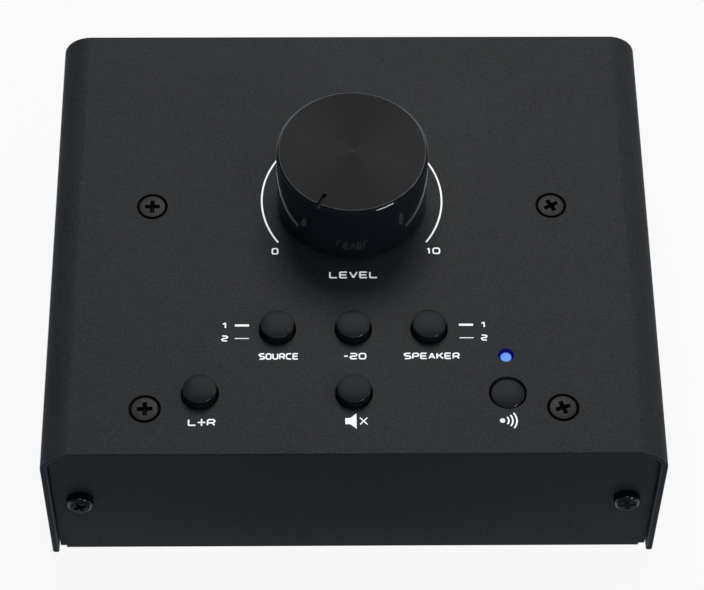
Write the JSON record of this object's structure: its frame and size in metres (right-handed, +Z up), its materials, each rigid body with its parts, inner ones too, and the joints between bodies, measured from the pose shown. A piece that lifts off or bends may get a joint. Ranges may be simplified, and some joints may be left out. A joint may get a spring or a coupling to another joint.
{
  "type": "studio monitor controller",
  "caption": "Desktop monitor controller in a folded steel case, with a large volume knob, push buttons and a lamp on top and jack sockets behind.",
  "frame": {"origin": "on the table, under the middle of the case's footprint", "axes": "+X along the case's long side, to the user's right; +Y to the rear, where the jacks are; +Z up"},
  "size_m": [0.14, 0.1222, 0.065],
  "materials": {
    "case_paint": "fine textured black powder coat",
    "plated_steel": "zinc plate",
    "black_steel": "black-passivated screws",
    "foot_rubber": "matte",
    "board_resin": "green solder mask on glass-fibre board",
    "tinned_copper": "tinned",
    "nickel": "nickel plate",
    "shaft_metal": "turned",
    "knob_metal": "turned, black anodised",
    "moulded_black": "moulded",
    "jack_plastic": "moulded",
    "plunger_plastic": "moulded, white",
    "spring_steel": "bright wire",
    "button_plastic": "satin black",
    "lamp_resin": "clear blue resin, lit",
    "ribbon_grey": "flat cable",
    "capacitor_sleeve": "shrink sleeve"
  },
  "bodies": {
    "case": {"cover": "case_paint", "tray": "case_paint", "rear_panel": "case_paint", "corner_brackets": "plated_steel", "board_spacers": "plated_steel", "board_screws": "plated_steel", "jack_board_standoffs": "plated_steel", "jack_board_screws": "plated_steel", "pot_housing": "plated_steel", "case_screws": "black_steel", "top_screws": "black_steel", "rubber_feet": "foot_rubber", "control_board": "board_resin", "jack_board": "board_resin", "wireless_receiver": "board_resin", "solder_pins": "tinned_copper", "pot_bushing": "nickel", "pot_washer": "nickel", "pot_nut": "nickel", "jack_washers": "nickel", "jack_nuts": "nickel", "power_inlet_pin": "nickel", "power_inlet": "moulded_black", "ribbon_headers": "moulded_black", "lamp_sleeve": "moulded_black", "input_switch": "moulded_black", "dim_switch": "moulded_black", "monitor_switch": "moulded_black", "mono_switch": "moulded_black", "mute_switch": "moulded_black", "wireless_switch": "moulded_black", "jack_pair_1": "jack_plastic", "jack_pair_2": "jack_plastic", "jack_pair_3": "jack_plastic", "jack_pair_4": "jack_plastic", "input_spring": "spring_steel", "dim_spring": "spring_steel", "monitor_spring": "spring_steel", "mono_spring": "spring_steel", "mute_spring": "spring_steel", "wireless_spring": "spring_steel", "lamp": "lamp_resin", "ribbon_cable": "ribbon_grey", "capacitors": "capacitor_sleeve"},
    "volume_knob": {"knob_shell": "knob_metal", "knob_core": "moulded_black", "pot_shaft": "shaft_metal", "pot_rotor": "moulded_black"},
    "input_button": {"input_cap": "button_plastic", "input_plunger": "plunger_plastic"},
    "dim_button": {"dim_cap": "button_plastic", "dim_plunger": "plunger_plastic"},
    "monitor_button": {"monitor_cap": "button_plastic", "monitor_plunger": "plunger_plastic"},
    "mono_button": {"mono_cap": "button_plastic", "mono_plunger": "plunger_plastic"},
    "mute_button": {"mute_cap": "button_plastic", "mute_plunger": "plunger_plastic"},
    "wireless_button": {"wireless_cap": "button_plastic", "wireless_plunger": "plunger_plastic"}
  },
  "joints": [
    {"name": "volume_turn", "type": "hinge", "parent": "case", "child": "volume_knob", "pos_m": [0, 0.01, 0.046], "axis": [0, 0, -1], "range_deg": [0, 300]},
    {"name": "input_press", "type": "slide", "parent": "case", "child": "input_button", "axis": [0, 0, -1], "range_m": [0, 0.0025], "stiffness_N_per_m": 600, "springref_m": -0.0015, "deforming": ["input_spring"]},
    {"name": "dim_press", "type": "slide", "parent": "case", "child": "dim_button", "axis": [0, 0, -1], "range_m": [0, 0.0025], "stiffness_N_per_m": 600, "springref_m": -0.0015, "deforming": ["dim_spring"]},
    {"name": "monitor_press", "type": "slide", "parent": "case", "child": "monitor_button", "axis": [0, 0, -1], "range_m": [0, 0.0025], "stiffness_N_per_m": 600, "springref_m": -0.0015, "deforming": ["monitor_spring"]},
    {"name": "mono_press", "type": "slide", "parent": "case", "child": "mono_button", "axis": [0, 0, -1], "range_m": [0, 0.0025], "stiffness_N_per_m": 600, "springref_m": -0.0015, "deforming": ["mono_spring"]},
    {"name": "mute_press", "type": "slide", "parent": "case", "child": "mute_button", "axis": [0, 0, -1], "range_m": [0, 0.0025], "stiffness_N_per_m": 600, "springref_m": -0.0015, "deforming": ["mute_spring"]},
    {"name": "wireless_release", "type": "slide", "parent": "case", "child": "wireless_button", "axis": [0, 0, 1], "range_m": [0, 0.0025], "deforming": ["wireless_spring"]}
  ]
}
